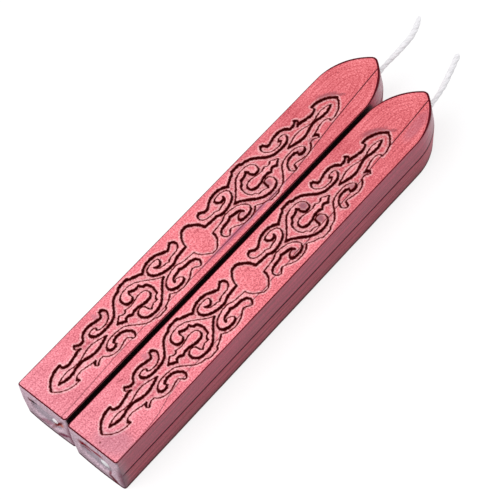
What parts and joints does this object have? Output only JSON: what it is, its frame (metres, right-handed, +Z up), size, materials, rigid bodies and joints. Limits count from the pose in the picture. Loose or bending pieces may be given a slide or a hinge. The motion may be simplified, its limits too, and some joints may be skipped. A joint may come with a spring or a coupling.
{
  "type": "sealing wax stick pair",
  "caption": "Cast sealing wax sticks lying side by side, each with a pointed nose, drafted sides, an engraved scrollwork face and a cotton wick cast through its length.",
  "frame": {"origin": "on the table, under the middle of the two wax bars", "axes": "+X across the pair from the left stick to the right stick, +Y along the sticks from butt to nose, +Z up from the table"},
  "size_m": [0.0248, 0.1046, 0.0105],
  "materials": {
    "red_wax": "satin, with a faint pearl",
    "cotton": "matte twisted cotton"
  },
  "bodies": {
    "left_stick": {"left_wax_bar": "red_wax", "left_wick": "cotton"},
    "right_stick": {"right_wax_bar": "red_wax", "right_wick": "cotton"}
  },
  "joints": [
    {"name": "right_stick_apart", "type": "slide", "parent": "left_stick", "child": "right_stick", "axis": [1, 0, 0], "range_m": [0, 0.03]}
  ]
}
